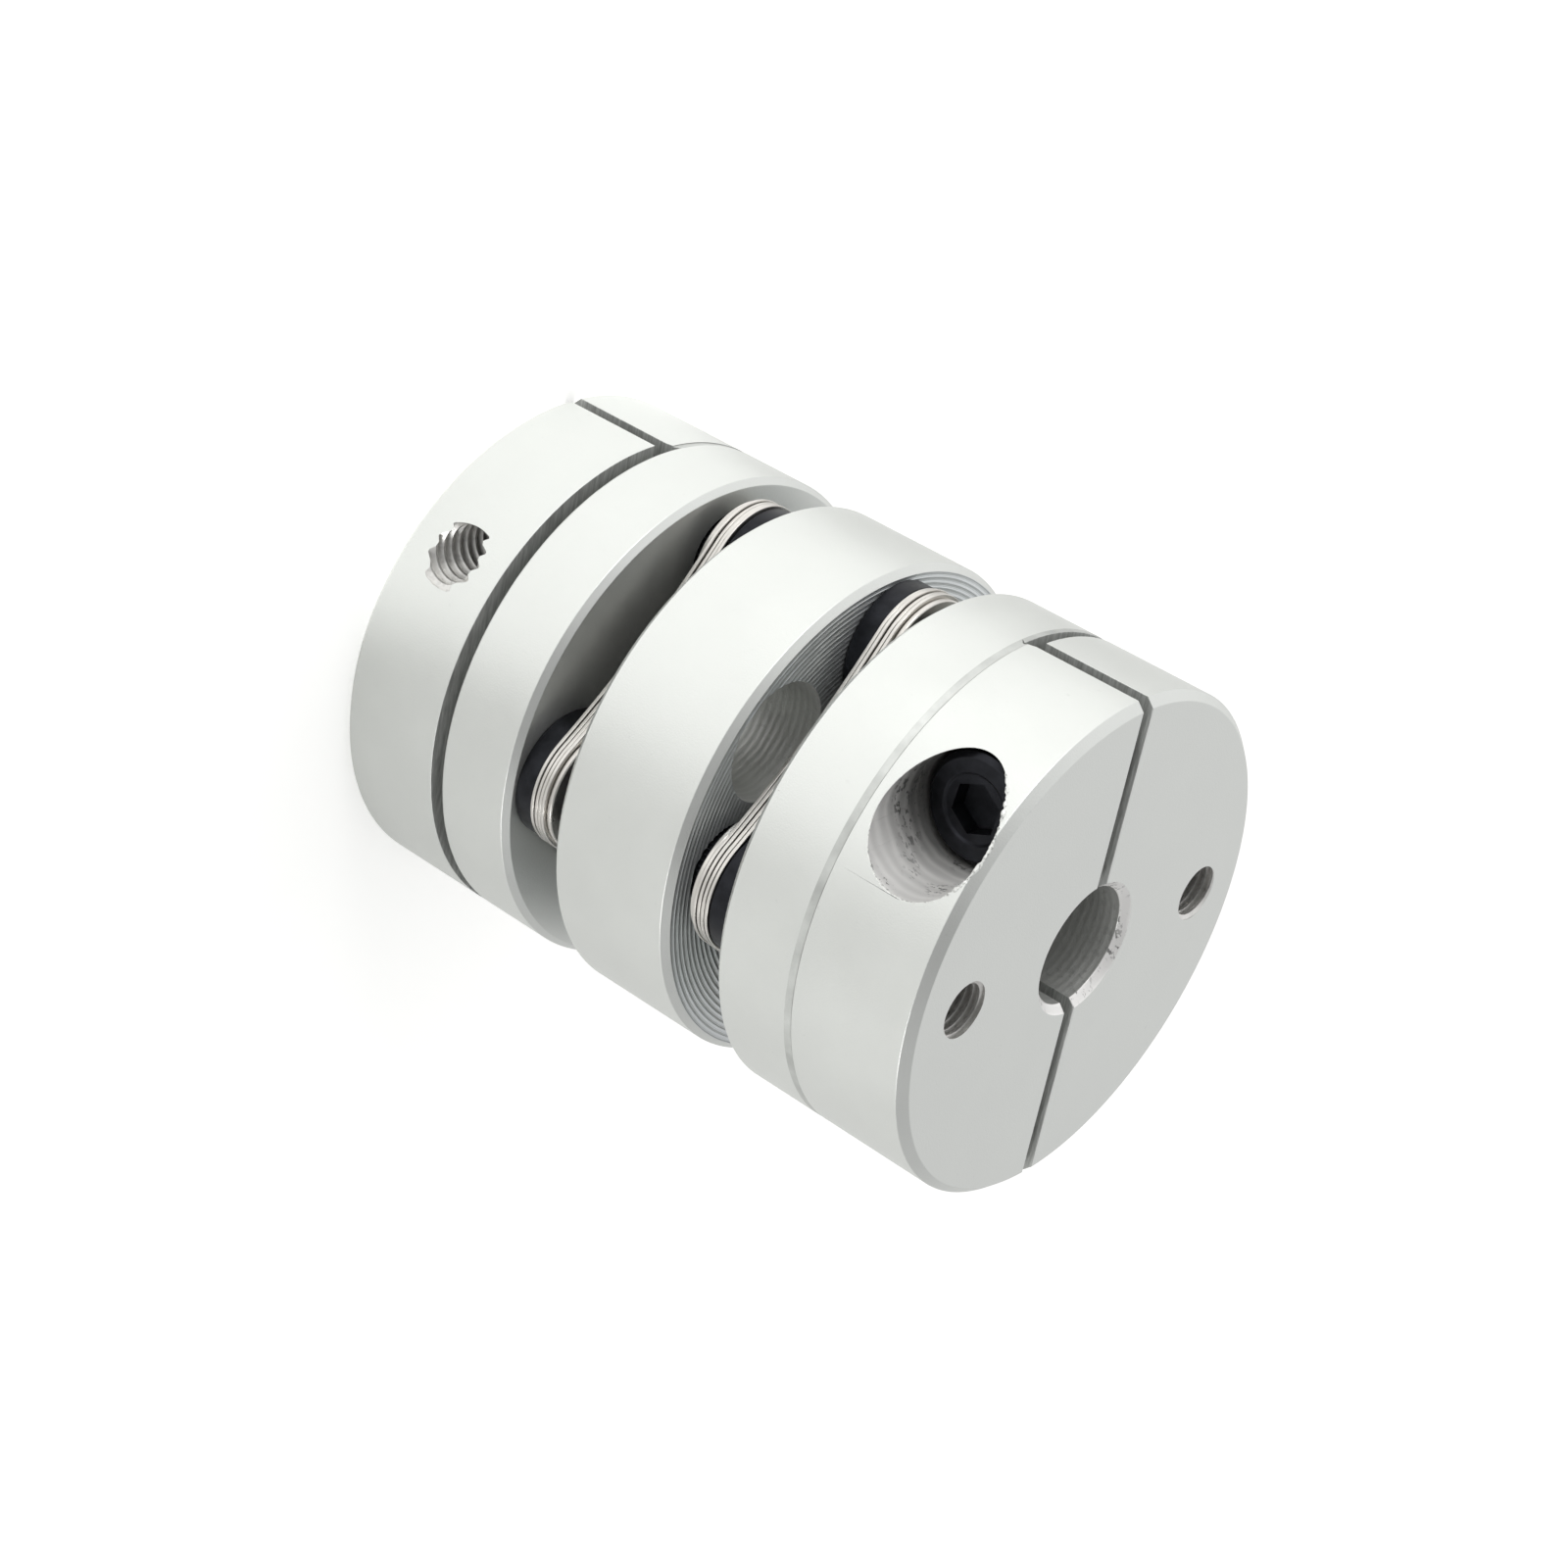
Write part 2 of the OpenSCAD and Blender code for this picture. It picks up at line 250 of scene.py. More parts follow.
class StageSizes(bpy.types.PropertyGroup):
    eye: spot_or_way("Camera", "Where the camera stands", (0.1007, 0.1537, 0.1306),
                     subtype="TRANSLATION", unit="LENGTH")
    sight: spot_or_way("Sight", "Point that the camera looks at", (-0.000343, 0.000458, 0.02317),
                       subtype="TRANSLATION", unit="LENGTH")
    roll: degrees("Roll", "Turn of the camera about its line of sight", 120.208)
    sensor_w: amount("Sensor", "Width of the camera's sensor in millimetres", 36)
    lens: amount("Lens", "Focal length of the camera in millimetres", 76.66)
    nearest: length("Nearest", "Least distance at which the camera sees anything", 0.01)
    floor_r: length("Floor radius", "Radius of the round floor", 1.6)
    key_power: amount("Key lamp", "Power of the soft lamp beside the clamp screws", 1.1, unit="POWER")
    key_turn: degrees("Key turn", "Turn of that lamp from X", 12)
    fill_power: amount("Fill lamp", "Power of the soft lamp on the other side", 1.1, unit="POWER")
    fill_turn: degrees("Fill turn", "Turn of the fill lamp from X", 128)
    lamp_rise: degrees("Lamp rise", "Height of both lamps above the middle, as an angle", 10)
    lamp_size: length("Lamp size", "Width of both lamps", 0.24)
    lamp_reach: length("Lamp reach", "Distance from a lamp to the coupling", 0.7)
    sky: amount("Sky", "Mean strength of the light from all round", 0.79)
    sky_lean: spot_or_way("Sky lean", "Direction towards which the sky grows stronger, and by how much",
                          (0.25, -0.25, 0))
    dark_way: spot_or_way("Dark patch", "Direction of a dark patch of the room overhead",
                          (0.1, 0.5, 0.86))
    dark_spread: degrees("Patch spread", "Angle from the middle of that patch to its edge", 50)
    dark_depth: amount("Patch depth", "How much darker the middle of that patch is", 0.34)
    floor_lift: amount("Floor lift", "Extra white of the floor where the camera sees it", 0.38)
    floor_gleam: amount("Floor gleam", "Extra white of the floor in reflections", 0.12)
    # Painted light: a pool of extra white on one side of the floor, that only reflections show and no lamp
    # casts
    painted_pool_strength: amount("Bright side", "Extra white in reflections of the floor on its bright side", 0.5)
    painted_pool_way: spot_or_way("Bright way", "Direction of the floor's bright side", (0.974, 0.225, 0))
    painted_pool_from: amount("Bright from", "Cosine to that direction at which the bright side starts", 0.3)
    painted_pool_to: amount("Bright to", "Cosine to that direction from which it is fully bright", 0.7)


class CouplingSettings(bpy.types.PropertyGroup):
    hub: PointerProperty(type=HubSizes)
    thread: PointerProperty(type=ThreadSizes)
    spacer: PointerProperty(type=SpacerSizes)
    pack: PointerProperty(type=PackSizes)
    screw: PointerProperty(type=ScrewSizes)
    ring: PointerProperty(type=RingSizes)
    wear: PointerProperty(type=WearSizes)
    colours: PointerProperty(type=Colours)
    stage: PointerProperty(type=StageSizes)


# Materials

def put(tree, kind, inputs=None, **settings):
    """Adds a node and gives it its settings. An input takes a plain value, or is linked from a socket
    or from the first open output of another node."""
    node = tree.nodes.new(kind)
    for name, value in settings.items():
        setattr(node, name, value)
    for name, value in (inputs or {}).items():
        if isinstance(value, bpy.types.Node):
            value = next(output for output in value.outputs if output.enabled)
        if isinstance(value, bpy.types.NodeSocket):
            tree.links.new(value, node.inputs[name])
        else:
            node.inputs[name].default_value = value
    return node


def new_material(name):
    """An empty material, with its tree and the piece's own coordinates, which are metres."""
    material = bpy.data.materials.new(name)
    material.use_nodes = True
    tree = material.node_tree
    tree.nodes.clear()
    return material, tree, put(tree, "ShaderNodeTexCoord").outputs["Object"]


def shade(colour, share):
    return [c * share for c in colour] + [1]


def coat(tree, share, first, second, metallic, roughness, relief=None, depth=0.0):
    """The finish itself: from the first colour to the second by a pattern's share, with its gloss,
    and raised by another pattern where it has relief."""
    inputs = {"Metallic": metallic, "Roughness": roughness, "Base Color": put(
        tree, "ShaderNodeMix", {"Factor": share, "A": first, "B": second}, data_type="RGBA")}
    if relief is not None:
        inputs["Normal"] = put(tree, "ShaderNodeBump", {
            "Height": relief, "Distance": depth, "Strength": 1.0})
    put(tree, "ShaderNodeOutputMaterial", {"Surface": put(tree, "ShaderNodeBsdfPrincipled", inputs)})


def grains(tree, place, size, detail=2.0, rough=0.5, low=0.3, high=0.7, stretch=(1, 1, 1)):
    """Noise with lumps of that size in metres, spread over 0 to 1."""
    at = put(tree, "ShaderNodeMapping", {"Vector": place, "Scale": [s / size for s in stretch]})
    noise = put(tree, "ShaderNodeTexNoise", {
        "Vector": at, "Scale": 1.0, "Detail": detail, "Roughness": rough}).outputs["Fac"]
    return put(tree, "ShaderNodeMapRange", {"Value": noise, "From Min": low, "From Max": high})


def ring_marks(tree, place, pitch, axis, wobble):
    """Turning marks: ridges at that pitch round the Z axis ("radius"), or across the axis that is
    named. They wander by as many radians as the wobble says, over lumps of its size."""
    parts = put(tree, "ShaderNodeSeparateXYZ", {"Vector": place}).outputs
    if axis == "radius":
        flat = put(tree, "ShaderNodeCombineXYZ", {"X": parts["X"], "Y": parts["Y"]})
        run = put(tree, "ShaderNodeVectorMath", {0: flat}, operation="LENGTH")
    else:
        run = parts[axis]
    lump, most = wobble
    wander = put(tree, "ShaderNodeMapRange", {"Value": grains(tree, place, lump), "To Max": most})
    phase = put(tree, "ShaderNodeMath", {0: run, 1: 2 * math.pi / pitch}, operation="MULTIPLY")
    uneven = put(tree, "ShaderNodeMath", {0: phase, 1: wander}, operation="ADD")
    return put(tree, "ShaderNodeMath", {0: uneven}, operation="SINE")


def blasted_aluminium(colour):
    """Clear anodised aluminium, blasted with glass beads: satin, with a very fine dimpled grain
    that spreads each reflection wide, and soft clouds where the blast was uneven."""
    material, tree, place = new_material("blasted_clear_anodised_aluminium")
    # Bead dimples are about 0.05 mm; drawn at 0.11 mm, because finer ones don't show at this size
    dimples = grains(tree, place, 0.11 * MM, detail=1.5)
    clouds = grains(tree, place, 5 * MM, detail=3)
    specks = grains(tree, place, 0.6 * MM, low=0.72, high=0.8)
    clouded = put(tree, "ShaderNodeMix", {
        "Factor": clouds, "A": shade(colour, 0.965), "B": shade(colour, 1)}, data_type="RGBA")
    gloss = put(tree, "ShaderNodeMapRange", {"Value": clouds, "To Min": 0.40, "To Max": 0.46})
    coat(tree, specks, clouded, shade(colour, 0.93),
         metallic=0.9, roughness=gloss, relief=dimples, depth=0.004 * MM)
    return material


def turned_aluminium(colour):
    """Anodised aluminium straight from the lathe: fine rings round the axis, brighter crests."""
    material, tree, place = new_material("turned_anodised_aluminium")
    # Feed marks of a finishing cut, about 0.1 mm apart
    rings = ring_marks(tree, place, 0.1 * MM, "radius", (3 * MM, 2))
    clouds = grains(tree, place, 2.5 * MM, detail=3)
    gloss = put(tree, "ShaderNodeMapRange", {"Value": clouds, "To Min": 0.32, "To Max": 0.4})
    coat(tree, clouds, shade(colour, 0.9), shade(colour, 1),
         metallic=0.8, roughness=gloss, relief=rings, depth=0.003 * MM)
    return material


def painted_recess_shade(tree, place, axis, rings, start, end):
    """Painted shade in a counterbore: 0 deep in it, where its wall is painted dark, 1 where the wall is
    unshaded. Start and end are distances from the split; the painted shade reaches farther out on the disc
    pack's side, in bands."""
    parts = put(tree, "ShaderNodeSeparateXYZ", {"Vector": place}).outputs
    out = put(tree, "ShaderNodeMath", {0: parts[axis]}, operation="ABSOLUTE")
    up = put(tree, "ShaderNodeMath", {0: parts["Z"], 1: COUPLING_L / 2}, operation="SUBTRACT")
    up = put(tree, "ShaderNodeMath", {0: up}, operation="ABSOLUTE")
    leant = put(tree, "ShaderNodeMath", {0: up, 1: PAINTED_SHADE_LEAN, 2: out}, operation="MULTIPLY_ADD")
    middle = PAINTED_SHADE_LEAN * (cad_place("top_clamp_screw").z - COUPLING_L / 2)
    unshaded = put(tree, "ShaderNodeMapRange", {
        "Value": leant, "From Min": start + middle, "From Max": end + middle})
    bands = put(tree, "ShaderNodeMath", {0: rings, 1: PAINTED_SHADE_BANDS}, operation="MULTIPLY")
    return put(tree, "ShaderNodeMath", {0: unshaded, 1: bands}, operation="ADD", use_clamp=True)


def bored_aluminium(name, colour, axis, feed, torn_share, metallic, painted_shade_span=None):
    """Wall of a bored hole, anodised: soft rings across the hole, satin between them, and dark torn
    squiggles in patches where the cutter dragged. Where a span is given, painted shade darkens the wall
    between two distances."""
    material, tree, place = new_material(name)
    rings = ring_marks(tree, place, feed, axis, (2.4 * MM, 1.8))
    squiggles = grains(tree, place, 0.5 * MM, detail=3, rough=0.6, low=0.55, high=0.6,
                       stretch=(1, 1.7, 1))
    patches = grains(tree, place, 3 * MM, detail=1, low=0.45, high=0.6)
    torn = put(tree, "ShaderNodeMath", {0: squiggles, 1: patches}, operation="MULTIPLY")
    torn = put(tree, "ShaderNodeMapRange", {"Value": torn, "To Max": torn_share})
    wall = put(tree, "ShaderNodeMix", {
        "Factor": put(tree, "ShaderNodeMapRange", {"Value": rings}),
        "A": shade(colour, 0.93), "B": shade(colour, 1)}, data_type="RGBA")
    # Painted shade: the wall darkens towards the bottom of a counterbore, where shade falls
    if painted_shade_span:
        wall = put(tree, "ShaderNodeMix", {
            "Factor": painted_recess_shade(tree, place, axis, rings, *painted_shade_span),
            "A": shade(colour, 0.2), "B": wall}, data_type="RGBA")
    coat(tree, torn, wall, shade(colour, 0.12),
         metallic=metallic, roughness=0.4, relief=rings, depth=0.004 * MM)
    return material


def scored_aluminium(colour):
    """A line scored on the lathe after the blast: a shade darker than the satin beside it, and worn
    in places."""
    material, tree, place = new_material("scored_aluminium")
    worn = grains(tree, place, 1.5 * MM, detail=3)
    coat(tree, worn, shade(colour, 0.85), shade(colour, 1.1), metallic=0.9, roughness=0.42)
    return material


def torn_aluminium(colour):
    """Bare torn metal of a burr: bright, rough, catches the light from every side."""
    material, tree, place = new_material("torn_bare_aluminium")
    chips = grains(tree, place, 0.25 * MM, low=0.35, high=0.5)
    coat(tree, chips, shade(colour, 0.6), shade(colour, 1.3), metallic=0.3, roughness=0.45)
    return material


def sawn_aluminium(colour):
    """Wall of a slit cut by a thin saw: dull, grey, with close scratches along the cut."""
    material, tree, place = new_material("sawn_aluminium")
    strokes = grains(tree, place, 0.2 * MM, detail=3, stretch=(0.12, 1, 1.4))
    coat(tree, strokes, shade(colour, 0.6), shade(colour, 1),
         metallic=0.5, roughness=0.55, relief=strokes, depth=0.008 * MM)
    return material


def cut_thread(colour):
    """Tapped aluminium: bright flanks with duller torn patches."""
    material, tree, place = new_material("tapped_aluminium")
    torn = grains(tree, place, 0.5 * MM, detail=3, rough=0.6, low=0.5, high=0.75)
    coat(tree, torn, shade(colour, 1), shade(colour, 0.7),
         metallic=0.85, roughness=0.35, relief=torn, depth=0.006 * MM)
    return material


def bright_strip(colour):
    """Cold-rolled stainless spring strip: warm silver, smooth and bright."""
    material, tree, place = new_material("rolled_stainless_spring_strip")
    clouds = grains(tree, place, 1.6 * MM, detail=3)
    # The blanked edge is streaked across, so its gleam comes and goes along it
    streaks = grains(tree, place, 1.2 * MM, detail=1, stretch=(1, 1, 0.1))
    gloss = put(tree, "ShaderNodeMapRange", {"Value": streaks, "To Min": 0.26, "To Max": 0.36})
    coat(tree, clouds, shade(colour, 0.86), shade(colour, 1), metallic=1.0, roughness=gloss)
    return material


def black_oxide(colour):
    """Alloy steel with a black oxide coat and a trace of oil: near black, satin, soft sheen."""
    material, tree, place = new_material("black_oxide_steel")
    clouds = grains(tree, place, 0.9 * MM, detail=3)
    fine = grains(tree, place, 0.1 * MM)
    gloss = put(tree, "ShaderNodeMapRange", {"Value": clouds, "To Min": 0.34, "To Max": 0.46})
    coat(tree, clouds, shade(colour, 0.7), shade(colour, 1.3),
         metallic=0.88, roughness=gloss, relief=fine, depth=0.002 * MM)
    return material


def plain_floor(colour, sizes):
    """Matt white floor. It is lifted to white where the camera sees it, and keeps its shadow; in
    reflections it glows a little all over, and more on one side, where a pool of light is painted that no
    lamp casts."""
    material, tree, place = new_material("white_floor")
    ray = put(tree, "ShaderNodeLightPath").outputs
    seen = put(tree, "ShaderNodeMath", {
        0: ray["Is Camera Ray"], 1: ray["Is Transmission Ray"]}, operation="MAXIMUM")
    lift = put(tree, "ShaderNodeMath", {0: seen, 1: sizes.floor_lift}, operation="MULTIPLY")
    # Painted pool of light: on one side the floor glows more, in reflections only
    way = put(tree, "ShaderNodeVectorMath", {0: place}, operation="NORMALIZE")
    towards = put(tree, "ShaderNodeVectorMath", {0: way, 1: sizes.painted_pool_way}, operation="DOT_PRODUCT")
    gleam = put(tree, "ShaderNodeMapRange", {
        "Value": towards, "From Min": sizes.painted_pool_from, "From Max": sizes.painted_pool_to,
        "To Min": sizes.floor_gleam, "To Max": sizes.floor_gleam + sizes.painted_pool_strength},
        interpolation_type="SMOOTHSTEP")
    mirrored = put(tree, "ShaderNodeMath", {0: ray["Is Glossy Ray"], 1: gleam}, operation="MULTIPLY")
    shader = put(tree, "ShaderNodeBsdfPrincipled", {
        "Base Color": shade(colour, 1), "Roughness": 0.9, "Specular IOR Level": 0.1,
        "Emission Color": (1, 1, 1, 1),
        "Emission Strength": put(tree, "ShaderNodeMath", {0: lift, 1: mirrored}, operation="ADD")})
    put(tree, "ShaderNodeOutputMaterial", {"Surface": shader})
    return material


# Mesh work

def solid_of(name, mesh, materials=()):
    """Makes an object of a bmesh, with its place in its mesh."""
    data = bpy.data.meshes.new(name)
    mesh.to_mesh(data)
    mesh.free()
    for material in materials:
        data.materials.append(material)
    piece = bpy.data.objects.new(name, data)
    bpy.context.scene.collection.objects.link(piece)
    return piece


def turned(profile, steps, phase=0.5):
    """A solid of revolution about Z from an outline of (radius, height) points."""
    mesh = bmesh.new()
    rows = []
    for radius, height in profile:
        if radius == 0:
            rows.append([mesh.verts.new((0, 0, height))] * steps)
            continue
        turns = [2 * math.pi * (i + phase) / steps for i in range(steps)]
        rows.append([mesh.verts.new((radius * math.cos(a), radius * math.sin(a), height)) for a in turns])
    for row, following in zip(rows, rows[1:] + rows[:1]):
        for i in range(steps):
            j = (i + 1) % steps
            corners = list(dict.fromkeys([row[i], row[j], following[j], following[i]]))
            if len(corners) > 2:
                mesh.faces.new(corners)
    bmesh.ops.recalc_face_normals(mesh, faces=mesh.faces)
    return mesh


def threaded_rod(crest_r, root_r, pitch, low, high, steps=64):
    """A closed rod along Z with a real helical thread."""
    turns = math.ceil((high - low) / pitch) + 1
    # A quarter of the pitch is flat at the root and an eighth at the crest, as in a metric thread
    levels = [(0, root_r), (0.25, root_r), (0.5625, crest_r), (0.6875, crest_r)]
    rows = [((t + share - 1) * pitch + low, r) for t in range(turns + 1) for share, r in levels]
    last = len(rows) - len(levels)
    mesh = bmesh.new()
    made = {}
    for j, (height, radius) in enumerate(rows):
        for i in range(steps if j < last else 1):
            a = 2 * math.pi * i / steps
            made[i, j] = mesh.verts.new(
                (radius * math.cos(a), radius * math.sin(a), height + pitch * i / steps))

    def at(i, j):
        return made[0, j + len(levels)] if i == steps else made[i, j]

    for j in range(last - 1):
        for i in range(steps):
            mesh.faces.new([at(i, j), at(i + 1, j), at(i + 1, j + 1), at(i, j + 1)])
    top = [at(i, last - 1) for i in range(steps + 1)]
    top += [made[0, k] for k in range(len(rows) - 2, last - 1, -1)]
    bottom = [at(i, 0) for i in range(steps + 1)]
    bottom += [made[0, k] for k in range(len(levels) - 1, 0, -1)]
    for loop in (top, bottom):
        middle = mesh.verts.new((0, 0, sum(v.co.z for v in loop) / len(loop)))
        for one, other in zip(loop, loop[1:] + loop[:1]):
            mesh.faces.new([one, other, middle])
    bmesh.ops.recalc_face_normals(mesh, faces=mesh.faces)
    return mesh


def pushed(outline, start, end):
    """A prism along X from an outline of (y, z) points."""
    mesh = bmesh.new()
    near = [mesh.verts.new((start, y, z)) for y, z in outline]
    far = [mesh.verts.new((end, y, z)) for y, z in outline]
    mesh.faces.new(near)
    mesh.faces.new(far[::-1])
    for i in range(len(near)):
        j = (i + 1) % len(near)
        mesh.faces.new([near[i], near[j], far[j], far[i]])
    bmesh.ops.recalc_face_normals(mesh, faces=mesh.faces)
    return mesh


def drill(radius, low, high, steps=96):
    return turned([(0, low), (radius, low), (radius, high), (0, high)], steps)


def apply_modifiers(piece):
    """Turns what the modifiers make into the piece's own plain mesh."""
    graph = bpy.context.evaluated_depsgraph_get()
    made = bpy.data.meshes.new_from_object(
        piece.evaluated_get(graph), preserve_all_data_layers=True, depsgraph=graph)
    piece.modifiers.clear()
    old, piece.data = piece.data, made
    bpy.data.meshes.remove(old)


def cut(piece, tool, material, place=None, keep=False):
    """Takes a tool's shape out of a piece; the new faces get the tool's finish."""
    if place is not None:
        tool.transform(place)
    cutter = solid_of("tool", tool, [material])
    step = piece.modifiers.new("cut", "BOOLEAN")
    step.operation = "UNION" if keep else "DIFFERENCE"
    step.solver = "EXACT"
    step.material_mode = "TRANSFER"
    step.object = cutter
    apply_modifiers(piece)
    bpy.data.objects.remove(cutter)


def break_edges(piece, width, rough_finish=(), limit=math.radians(28)):
    """Rounds every machined edge a little and smooths the faces between them."""
    skip = {i for i, m in enumerate(piece.data.materials) if m in rough_finish}
    mesh = bmesh.new()
    mesh.from_mesh(piece.data)
    bmesh.ops.remove_doubles(mesh, verts=mesh.verts, dist=1e-6)
    weight = mesh.edges.layers.float.new("bevel_weight_edge")
    for edge in mesh.edges:
        finishes = {face.material_index for face in edge.link_faces}
        sharp = len(edge.link_faces) == 2 and edge.calc_face_angle(0) > limit
        edge.smooth = not sharp and len(finishes) == 1
        if sharp and not finishes & skip:
            edge[weight] = 1
    for face in mesh.faces:
        face.smooth = True
    mesh.to_mesh(piece.data)
    mesh.free()
    rounding = piece.modifiers.new("rounding", "BEVEL")
    rounding.width = width
    rounding.segments = 2
    rounding.limit_method = "WEIGHT"
    rounding.use_clamp_overlap = False
    rounding.harden_normals = True
    apply_modifiers(piece)


def repeat_tree(name):
    """Nodes that stand one shape on every point of a piece and make it one mesh.
    Each point holds its turn in an attribute; slip and spin scatter the copies a little."""
    tree = bpy.data.node_groups.new(name, "GeometryNodeTree")
    face = tree.interface
    for label, kind in (("Places", "NodeSocketGeometry"), ("Shape", "NodeSocketObject"),
                        ("Finish", "NodeSocketMaterial"), ("Slip", "NodeSocketFloat"),
                        ("Spin", "NodeSocketFloat"), ("Seed", "NodeSocketInt")):
        face.new_socket(label, in_out="INPUT", socket_type=kind)
    face.new_socket("Pieces", in_out="OUTPUT", socket_type="NodeSocketGeometry")
    given = put(tree, "NodeGroupInput").outputs
    turn = put(tree, "GeometryNodeInputNamedAttribute", {"Name": "turn"}, data_type="FLOAT_VECTOR")
    shape = put(tree, "GeometryNodeObjectInfo", {"Object": given["Shape"]})
    stood = put(tree, "GeometryNodeInstanceOnPoints", {
        "Points": given["Places"], "Instance": shape.outputs["Geometry"],
        "Rotation": put(tree, "FunctionNodeEulerToRotation", {"Euler": turn.outputs["Attribute"]})})
    off = put(tree, "FunctionNodeRandomValue", {
        0: (-1, -1, 0), 1: (1, 1, 0), "Seed": given["Seed"]}, data_type="FLOAT_VECTOR")
    slip = put(tree, "ShaderNodeVectorMath", {0: off, "Scale": given["Slip"]}, operation="SCALE")
    slipped = put(tree, "GeometryNodeTranslateInstances", {"Instances": stood, "Translation": slip})
    any_turn = put(tree, "FunctionNodeRandomValue", {
        2: -1.0, 3: 1.0, "Seed": given["Seed"]}, data_type="FLOAT")
    angle = put(tree, "ShaderNodeMath", {0: any_turn, 1: given["Spin"]}, operation="MULTIPLY")
    spun = put(tree, "GeometryNodeRotateInstances", {
        "Instances": slipped, "Rotation": put(tree, "ShaderNodeCombineXYZ", {"Z": angle})})
    real = put(tree, "GeometryNodeRealizeInstances", {"Geometry": spun})
    done = put(tree, "GeometryNodeSetMaterial", {"Geometry": real, "Material": given["Finish"]})
    put(tree, "NodeGroupOutput", {"Pieces": done})
    return tree


def repeat(name, shape, places, material, slip=0.0, spin=0.0, seed=0):
    """One piece made of a shape stood at each (point, turn) of places."""
    mesh = bmesh.new()
    for point, turn in places:
        mesh.verts.new(point)
    piece = solid_of(name, mesh)
    turns = piece.data.attributes.new("turn", "FLOAT_VECTOR", "POINT")
    for held, (point, turn) in zip(turns.data, places):
        held.vector = turn
    tree = bpy.data.node_groups.get("stand_on_places") or repeat_tree("stand_on_places")
    step = piece.modifiers.new("copies", "NODES")
    step.node_group = tree
    given = {"Shape": shape, "Finish": material, "Slip": slip, "Spin": spin, "Seed": seed}
    for socket in tree.interface.items_tree:
        if socket.in_out == "INPUT" and socket.name in given:
            step[socket.identifier] = given[socket.name]
    apply_modifiers(piece)
    bpy.data.objects.remove(shape)
    return piece


def hand_over(piece, slot, *nodes):
    """The piece stands for these CAD nodes, and rides on the one body."""
    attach(piece, "root")
    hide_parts(*nodes)


UPPER = Matrix.Translation((0, 0, COUPLING_L))
LOWER = Matrix.Rotation(math.pi, 4, "X")


def place_turn(k):
    """Turn of screw place k, from 1 to 4, from the X axis."""
    return math.pi / 2 * (k - 1)


def around(k, radius=SCREW_R):
    return Matrix.Rotation(place_turn(k), 4, "Z") @ Matrix.Translation((radius, 0, 0))


# Pieces

def hub_with_holes(sizes, thread, finish, slit_w):
    """One clamp hub with its end face up at z = 0, as it is machined, before its edges are broken."""
    r, h, c, g = sizes.outer_r, sizes.hub_l, sizes.rim_chamfer, sizes.gap_chamfer
    b, bc = sizes.bore_r, sizes.bore_chamfer
    mark_low, mark_mid = -sizes.mark_at, -sizes.mark_at + sizes.mark_w
    mark_high = mark_mid + sizes.mark_depth
    hub = solid_of("hub", turned([
        (b, bc - h), (b + bc, -h), (r - g, -h), (r, g - h), (r, mark_low), (r - sizes.mark_depth, mark_mid),
        (r, mark_high), (r, -c), (r - c, 0), (b + bc, 0), (b, -bc)], steps=360),
        [finish[name] for name in ("blasted", "bored", "scored", "bevelled")])
    for polygon in hub.data.polygons:
        out = math.hypot(*polygon.center[:2])
        if out < b + HAIR:
            polygon.material_index = 1
        elif mark_low < polygon.center.z < mark_high:
            polygon.material_index = 2
        elif out < b + bc:
            polygon.material_index = 3

    half, side = sizes.split_w / 2, r + SAW_PAST
    slit_low, slit_high = -sizes.jaw_l - slit_w, -sizes.jaw_l
    split = [(-half, slit_low), (half, slit_low), (half, SAW_PAST), (-half, SAW_PAST)]
    slit = [(-side, slit_low), (half + sizes.slit_runout, slit_low), (half, slit_high), (-side, slit_high)]
    cut(hub, pushed(split, -side, side), finish["sawn"])
    cut(hub, pushed(slit, sizes.neck_t - r, side), finish["sawn"])

    spot = cad_place("top_clamp_screw")
    across = Matrix.Translation((spot.x, 0, spot.z - COUPLING_L)) @ Matrix.Rotation(-math.pi / 2, 4, "X")
    seat = sizes.clamp_seat
    cut(hub, drill(sizes.clamp_hole_r, seat, side, steps=128), finish["milled"], across)
    cut(hub, drill(sizes.clear_r, -OVERLAP, seat + OVERLAP, steps=64), finish["milled"], across)
    tap = threaded_rod(thread.major_r, thread.minor_r, thread.pitch, sizes.thread_end - r, OVERLAP)
    cut(hub, tap, finish["thread"], across)
    for k in (2, 4):
        tap = threaded_rod(thread.major_r, thread.fine_r, thread.fine_pitch, -h - TOOL_PAST, TAP_PAST)
        cut(hub, tap, finish["thread"], around(k))
    for k in (1, 3):
        head_hole = drill(sizes.head_hole_r, -h - SAW_PAST, sizes.head_hole_depth - h)
        cut(hub, head_hole, finish["milled"], around(k))
    return hub


